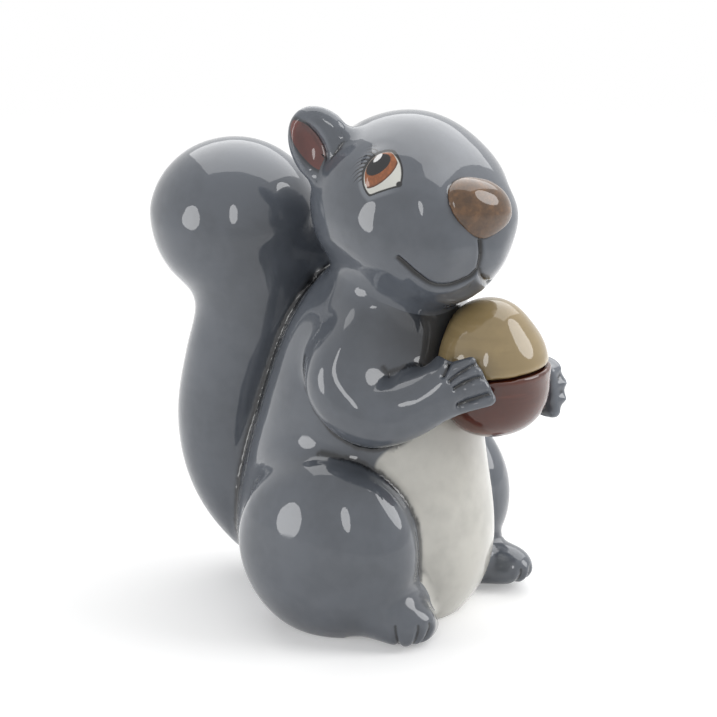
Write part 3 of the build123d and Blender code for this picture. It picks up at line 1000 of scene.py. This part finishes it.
def lash_share(tree, forward, up):
    """1 on the brushed lashes that fan out behind the upper lid."""
    middle, radius = LID_CIRCLES[0]
    f = add(tree, "Math", middle[0], forward, operation="SUBTRACT")
    u = add(tree, "Math", up, middle[1], operation="SUBTRACT")
    away = add(tree, "Math", spread(tree, f, u), radius, operation="SUBTRACT")
    turn = add(tree, "Math", u, f, operation="ARCTAN2")
    bent = add(
        tree, "Math", turn,
        add(tree, "Math", add(tree, "Math", away, away, operation="MULTIPLY"), 0.012, operation="MULTIPLY"),
        operation="ADD",
    )
    count = add(tree, "Math", bent, 1 / math.radians(8.5), operation="MULTIPLY")
    stroke = add(
        tree, "Math",
        add(tree, "Math", add(tree, "Math", count, operation="FRACT"), 0.5, operation="SUBTRACT"),
        operation="ABSOLUTE",
    )
    number = add(tree, "Math", count, operation="FLOOR")
    uneven = add(tree, "TexWhiteNoise", named={"W": number}, noise_dimensions="1D")
    reach = add(tree, "Math", add(tree, "Math", uneven, 2.0, operation="MULTIPLY"), 3.8, operation="ADD")
    taper = add(tree, "Math", 1.0, add(tree, "Math", away, reach, operation="DIVIDE"), operation="SUBTRACT")
    width = add(tree, "Math", taper, 0.33, operation="MULTIPLY")
    lash = add(
        tree, "MapRange", add(tree, "Math", width, stroke, operation="SUBTRACT"), -0.05, 0.05,
        interpolation_type="SMOOTHSTEP",
    )
    fan = add(
        tree, "Math",
        add(tree, "MapRange", turn, math.radians(-26), math.radians(-20), interpolation_type="SMOOTHSTEP"),
        add(tree, "MapRange", turn, math.radians(50), math.radians(44), interpolation_type="SMOOTHSTEP"),
        operation="MULTIPLY",
    )
    root = add(tree, "Math", away, 0.2, operation="GREATER_THAN")
    return add(tree, "Math", add(tree, "Math", lash, fan, operation="MULTIPLY"), root, operation="MULTIPLY")


def head_glaze(colours):
    """Grey with painted eyes, lashes and a dark mouth. The eye's colours are brushed on, and the
    glaze over them is as clear as on the coat."""
    material, tree = new_material("Grey underglaze with painted eyes under clear gloss")
    grey = coat_colour(tree, colours, tuple(colours.grey))
    forward, up = eye_plane(tree)
    lid = lid_distance(tree, forward, up)
    line = tuple(colours.line)

    streak = add(
        tree, "TexNoise",
        named={"Vector": add(tree, "TexCoord", out="Object"), "Scale": 1 / (1.1 * MM), "Detail": 2.0},
    )
    iris_radius = painted_oval(tree, forward, up, *IRIS)
    pale = tint(colours.iris, 1.3)
    iris = add(
        tree, "Mix", add(tree, "MapRange", streak, 0.42, 0.62, interpolation_type="SMOOTHSTEP"),
        tuple(colours.iris), pale, data_type="RGBA",
    )
    iris = add(
        tree, "Mix", add(tree, "MapRange", iris_radius, 0.82, 0.97, interpolation_type="SMOOTHSTEP"), iris,
        tuple(colours.iris_edge), data_type="RGBA",
    )
    within = add(
        tree, "Math", add(tree, "MapRange", iris_radius, 1.0, 0.96, interpolation_type="SMOOTHSTEP"),
        add(tree, "MapRange", lid, -0.55, -0.75, interpolation_type="SMOOTHSTEP"), operation="MULTIPLY",
    )
    eye = add(tree, "Mix", within, tuple(colours.eye), iris, data_type="RGBA")
    eye = add(
        tree, "Mix",
        add(
            tree, "MapRange", painted_oval(tree, forward, up, *PUPIL), 1.06, 0.96,
            interpolation_type="SMOOTHSTEP",
        ),
        eye, line, data_type="RGBA",
    )
    eye = add(
        tree, "Mix",
        add(
            tree, "MapRange", painted_oval(tree, forward, up, *GLINT), 1.1, 0.85,
            interpolation_type="SMOOTHSTEP",
        ),
        eye, linear("#f3f3f3"), data_type="RGBA",
    )
    upper = add(
        tree, "MapRange",
        add(tree, "Math", up, add(tree, "Math", forward, 1.1, operation="MULTIPLY"), operation="SUBTRACT"),
        -3.0, 5.0, interpolation_type="SMOOTHSTEP",
    )
    inner = add(tree, "Math", upper, -0.4, operation="MULTIPLY")
    brushed = add(
        tree, "MapRange", lid, add(tree, "Math", inner, 0.35, operation="SUBTRACT"), inner,
        interpolation_type="SMOOTHSTEP",
    )
    eye = add(tree, "Mix", brushed, eye, line, data_type="RGBA")

    # Painted highlight: a pale band along the raised rim below the eye.
    lower = add(
        tree, "MapRange",
        add(tree, "Math", up, add(tree, "Math", forward, 0.6, operation="MULTIPLY"), operation="ADD"), 2.0,
        -5.0, interpolation_type="SMOOTHSTEP",
    )
    rim_highlight = add(
        tree, "Math", add(tree, "MapRange", lid, 2.4, 1.2, 0.0, 0.8, interpolation_type="SMOOTHSTEP"),
        lower, operation="MULTIPLY",
    )
    skin = add(tree, "Mix", rim_highlight, grey, tuple(colours.thin_and_highlight), data_type="RGBA")
    skin = add(tree, "Mix", lash_share(tree, forward, up), skin, line, data_type="RGBA")
    duct = spread(
        tree, add(tree, "Math", forward, 8.0, operation="SUBTRACT"),
        add(tree, "Math", up, -3.2, operation="SUBTRACT"),
    )
    painted = add(
        tree, "Mix", add(tree, "MapRange", lid, 0.6, 0.35, interpolation_type="SMOOTHSTEP"), skin, eye,
        data_type="RGBA",
    )
    close_glaze(
        tree,
        add(
            tree, "Mix", add(tree, "MapRange", duct, 1.15, 0.85, interpolation_type="SMOOTHSTEP"), painted,
            line, data_type="RGBA",
        ),
    )
    return material


def ear_glaze(colours):
    """Grey with a pink-brown scoop, brushed in up to the rim."""
    material, tree = new_material("Grey underglaze with a pink-brown scoop under clear gloss")
    place = head_place(tree)
    (middle, half), (height, half_height) = EAR_OVAL
    start = EAR_MIDDLE + EAR_ACROSS * middle + EAR_AXIS * height
    reaches = [along(tree, place, way / size, way.dot(start) / size)
               for way, size in ((EAR_ACROSS, half), (EAR_AXIS, half_height))]
    oval = spread(tree, *reaches)
    front = add(
        tree, "MapRange", along(tree, place, EAR_OPENING, EAR_OPENING.dot(EAR_MIDDLE)), -5.6, -5.2,
        interpolation_type="SMOOTHSTEP",
    )
    scoop = add(
        tree, "Math", add(tree, "MapRange", oval, 1.06, 1.0, interpolation_type="SMOOTHSTEP"), front,
        operation="MULTIPLY",
    )
    rim = add(
        tree, "Math",
        add(
            tree, "Math", add(tree, "MapRange", oval, 1.3, 1.08, interpolation_type="SMOOTHSTEP"), front,
            operation="MULTIPLY",
        ),
        0.75, operation="MULTIPLY",
    )
    grey = coat_colour(tree, colours, tuple(colours.grey))
    pink = coat_colour(tree, colours, tuple(colours.ear), 0.4)
    close_glaze(
        tree,
        add(
            tree, "Mix", scoop, add(tree, "Mix", rim, grey, tuple(colours.pool), data_type="RGBA"), pink,
            data_type="RGBA",
        ),
    )
    return material


def nose_glaze(colours):
    """Brown mottled darker and paler, and paler over the round of the nose, where the glaze thins and a
    highlight is painted.
    """
    material, tree = new_material("Brown underglaze of the nose under clear gloss")
    cloud = add(
        tree, "TexNoise",
        named={
            "Vector": add(tree, "TexCoord", out="Object"), "Scale": 1 / (3.2 * MM), "Detail": 5.0,
            "Roughness": 0.65,
        },
    )
    pale = tint(colours.nose, 1.7)
    dark = tint(colours.nose, 0.5)
    base = coat_colour(tree, colours, tuple(colours.nose))
    mottled = add(
        tree, "Mix", add(tree, "MapRange", cloud, 0.5, 0.36, 0.0, 0.7, interpolation_type="SMOOTHSTEP"),
        base, dark, data_type="RGBA",
    )
    close_glaze(
        tree,
        add(
            tree, "Mix", add(tree, "MapRange", cloud, 0.5, 0.66, 0.0, 0.6, interpolation_type="SMOOTHSTEP"),
            mottled, pale, data_type="RGBA",
        ),
    )
    return material


def acorn_glaze(colours):
    """Tan nut over a dark brown cup. Both colours are brushed round the acorn; they darken at the rim, with
    pooled glaze and painted shade, and pale on edges, with a painted highlight.
    """
    material, tree = new_material("Tan and brown underglaze of the acorn under clear gloss")
    place = add(tree, "TexCoord", out="Object")
    height = along(tree, place, ACORN_AXIS / MM, ACORN_AXIS.dot(ACORN_RIM) / MM)
    wobble = add(tree, "TexNoise", named={"Vector": place, "Scale": 1 / (10 * MM)})
    level = add(
        tree, "Math", height,
        add(tree, "Math", add(tree, "Math", wobble, 0.5, operation="SUBTRACT"), 0.9, operation="MULTIPLY"),
        operation="ADD",
    )
    # Brush strokes 25 mm long and 3 mm wide
    stroke = (1 / (25 * MM), 1 / (25 * MM), 1 / (3.03 * MM))
    strokes = add(
        tree, "TexNoise",
        named={
            "Vector": add(tree, "VectorMath", place, stroke, operation="MULTIPLY"),
            "Scale": 1.0, "Detail": 3.0, "Distortion": 0.4,
        },
    )
    nut = coat_colour(tree, colours, tuple(colours.nut), 0.7)
    dark_nut = tint(colours.nut, 0.78)
    nut = add(
        tree, "Mix", add(tree, "MapRange", strokes, 0.42, 0.66, 0.0, 0.55, interpolation_type="SMOOTHSTEP"),
        nut, dark_nut, data_type="RGBA",
    )
    cup = coat_colour(tree, colours, tuple(colours.cup), 0.7)
    pale_cup = tint(colours.cup, 1.7)
    cup = add(
        tree, "Mix", add(tree, "MapRange", strokes, 0.5, 0.72, 0.0, 0.5, interpolation_type="SMOOTHSTEP"),
        cup, pale_cup, data_type="RGBA",
    )
    close_glaze(
        tree,
        add(
            tree, "Mix", add(tree, "MapRange", level, 0.1, -0.5, interpolation_type="SMOOTHSTEP"), nut, cup,
            data_type="RGBA",
        ),
    )
    return material


# Operators


class SQUIRREL_OT_castings(bpy.types.Operator):
    """Model the body's castings under their common glaze"""

    bl_idname = "squirrel.castings"
    bl_label = "Glazed castings"

    def execute(self, context):
        sizes = context.scene.squirrel_sizes
        colours = context.scene.squirrel_colours
        joined = merged_copy(CASTINGS, sizes.swell)
        place, radius, depth = VENT_PLUG
        bmesh.ops.create_cone(
            joined, cap_ends=True, segments=32, radius1=radius * MM, radius2=radius * MM,
            depth=depth * MM, matrix=Matrix.Translation(Vector(place) * MM)
        )
        add_clay(joined)
        mesh = remeshed(joined, "castings", sizes.voxel)
        places = vertex_array(mesh)
        places -= vertex_array(mesh, "normal") * sizes.swell
        edges = edge_array(mesh)
        sorter = Owners(CASTINGS)
        places = soften_joints(places, edges, sorter.at(places, edges), sizes)
        set_places(mesh, places)
        places = roll_ears(shape_face(places, vertex_array(mesh, "normal")), edges)
        set_places(mesh, places)
        wave = np.array([noise.noise(Vector(place) / sizes.wave_length) for place in places])
        places += vertex_array(mesh, "normal") * (sizes.wave * (wave - 0.6))[:, None]
        places[:, 2] = np.maximum(places[:, 2], 0)
        set_places(mesh, places)
        carve_lines(mesh, sizes)
        mark_glaze(mesh)
        owners = sorter.at(vertex_array(mesh), edge_array(mesh))
        shade_creases(mesh, owners)
        grey = grey_glaze(colours)
        materials = {name: grey for name in CASTINGS}
        materials["torso"] = materials["belly"] = belly_glaze(colours)
        materials["head"] = materials["right_eye"] = materials["left_eye"] = head_glaze(colours)
        materials["right_ear"] = materials["left_ear"] = ear_glaze(colours)
        part_castings(mesh, owners, materials, sizes.wall)
        return {"FINISHED"}


class SQUIRREL_OT_nose(bpy.types.Operator):
    """Model the nose"""

    bl_idname = "squirrel.nose"
    bl_label = "Nose"

    def execute(self, context):
        piece = add_rounded("nose", 0.4, 12, nose_glaze(context.scene.squirrel_colours), 0.6)
        places = vertex_array(piece.data)
        turn = np.array(HEAD_TURN)
        local = (places - np.array(HEAD_PLACE)) @ turn
        local[:, 0] *= 1 + 0.2 * np.exp(-(((local[:, 1] + 4 * MM) / (6 * MM)) ** 2))
        set_places(piece.data, local @ turn.T + np.array(HEAD_PLACE))
        return {"FINISHED"}


class SQUIRREL_OT_acorn(bpy.types.Operator):
    """Model the nut and its cup"""

    bl_idname = "squirrel.acorn"
    bl_label = "Acorn"

    def execute(self, context):
        glaze = acorn_glaze(context.scene.squirrel_colours)
        add_rounded("acorn_nut", 0.6, 8, glaze)
        add_rounded("acorn_cup", 0.6, 70, glaze)
        return {"FINISHED"}


def aim(thing, place, target):
    """Puts a lamp or camera at a place and turns it to the target."""
    thing.location = place
    thing.rotation_euler = (target - place).to_track_quat("-Z", "Y").to_euler()


def softbox(name, azimuth, elevation, distance, width, height, brightness, shape):
    """A flat lamp that faces the figurine. Azimuth 0 is at the camera, and plus is to its right."""
    lamp = bpy.data.lights.new(name, "AREA")
    lamp.shape = shape
    lamp.size = width
    lamp.size_y = height
    lamp.energy = brightness * math.pi * width * height * (math.pi / 4 if shape == "ELLIPSE" else 1)
    thing = bpy.data.objects.new(name, lamp)
    bpy.context.scene.collection.objects.link(thing)
    stage = bpy.context.scene.squirrel_stage
    turn = stage.azimuth + math.radians(azimuth)
    lift = math.radians(elevation)
    way = Vector((math.sin(turn) * math.cos(lift), -math.cos(turn) * math.cos(lift), math.sin(lift)))
    aim(thing, LAMP_TARGET + way * distance, LAMP_TARGET)


def seen_ray(tree):
    """1 for rays from the camera and for those mirrored or passed on to it."""
    camera, glossy, passed = (
        add(tree, "LightPath", out=f"Is {kind} Ray") for kind in ("Camera", "Glossy", "Transmission")
    )
    mirrored = add(tree, "Math", glossy, passed, operation="MAXIMUM")
    return add(tree, "Math", camera, mirrored, operation="MAXIMUM")


class SQUIRREL_OT_stage(bpy.types.Operator):
    """Set up the white floor, the softboxes and the camera"""

    bl_idname = "squirrel.stage"
    bl_label = "Stage"

    def execute(self, context):
        scene = context.scene
        stage = scene.squirrel_stage
        scene.view_settings.view_transform = "Standard"

        ground = bmesh.new()
        bmesh.ops.create_grid(ground, x_segments=1, y_segments=1, size=4.0)
        mesh = bpy.data.meshes.new("floor")
        ground.to_mesh(mesh)
        ground.free()
        floor = bpy.data.objects.new("floor", mesh)
        scene.collection.objects.link(floor)
        material, tree = new_material("White paper floor")
        seen = seen_ray(tree)
        paper = add(tree, "BsdfDiffuse", named={"Color": linear("#e7e7e7")})
        glow_strength = add(tree, "Math", seen, 0.3, operation="MULTIPLY")
        glow = add(tree, "Emission", named={"Color": linear("#ffffff"), "Strength": glow_strength})
        near = add(tree, "AddShader", paper, glow)
        open_air = add(tree, "BsdfTransparent")
        away = add(tree, "VectorMath", add(tree, "TexCoord", out="Object"), operation="LENGTH")
        share = add(tree, "MapRange", away, 0.3, 0.75, interpolation_type="SMOOTHSTEP")
        add(tree, "OutputMaterial", named={"Surface": add(tree, "MixShader", share, near, open_air)})
        mesh.materials.append(material)

        world = bpy.data.worlds.new("White room")
        scene.world = world
        world.use_nodes = True
        tree = world.node_tree
        tree.nodes.clear()
        strength = add(
            tree, "MapRange", named={"Value": seen_ray(tree), "To Min": stage.room, "To Max": 1.0}
        )
        sky = add(tree, "Background", named={"Color": linear("#ffffff"), "Strength": strength})
        add(tree, "OutputWorld", named={"Surface": sky})

        turn, lift = stage.azimuth, stage.elevation
        right = Vector((math.cos(turn), math.sin(turn), 0))
        back = Vector((math.sin(turn) * math.cos(lift), -math.cos(turn) * math.cos(lift), math.sin(lift)))
        up = back.cross(right)
        target = (right * PICTURE_MIDDLE[0] + up * PICTURE_MIDDLE[1]) * MM
        lens = bpy.data.cameras.new("camera")
        lens.lens = stage.lens
        lens.sensor_width = 36
        camera = bpy.data.objects.new("camera", lens)
        scene.collection.objects.link(camera)
        aim(camera, target + back * stage.distance, target)
        scene.camera = camera

        for lamp in LAMPS:
            softbox(*lamp)
        return {"FINISHED"}


class SQUIRREL_PT_panel(bpy.types.Panel):
    bl_label = "Squirrel figurine"
    bl_space_type = "VIEW_3D"
    bl_region_type = "UI"
    bl_category = "Figurine"

    def draw(self, context):
        layout = self.layout
        for operator in (SQUIRREL_OT_castings, SQUIRREL_OT_nose, SQUIRREL_OT_acorn, SQUIRREL_OT_stage):
            layout.operator(operator.bl_idname)
        scene = context.scene
        for group in (scene.squirrel_sizes, scene.squirrel_colours, scene.squirrel_stage):
            for key in group.bl_rna.properties.keys():
                if key not in ("rna_type", "name"):
                    layout.prop(group, key)


CLASSES = (
    GlazeColours, BodySizes, StageSettings, SQUIRREL_OT_castings, SQUIRREL_OT_nose, SQUIRREL_OT_acorn,
    SQUIRREL_OT_stage, SQUIRREL_PT_panel,
)


def register():
    for cls in CLASSES:
        bpy.utils.register_class(cls)
    bpy.types.Scene.squirrel_colours = PointerProperty(type=GlazeColours)
    bpy.types.Scene.squirrel_sizes = PointerProperty(type=BodySizes)
    bpy.types.Scene.squirrel_stage = PointerProperty(type=StageSettings)


def unregister():
    del bpy.types.Scene.squirrel_stage
    del bpy.types.Scene.squirrel_sizes
    del bpy.types.Scene.squirrel_colours
    for cls in reversed(CLASSES):
        bpy.utils.unregister_class(cls)


def main():
    register()
    bpy.ops.squirrel.stage()
    bpy.ops.squirrel.castings()
    bpy.ops.squirrel.nose()
    bpy.ops.squirrel.acorn()


if __name__ == "__main__":
    main()
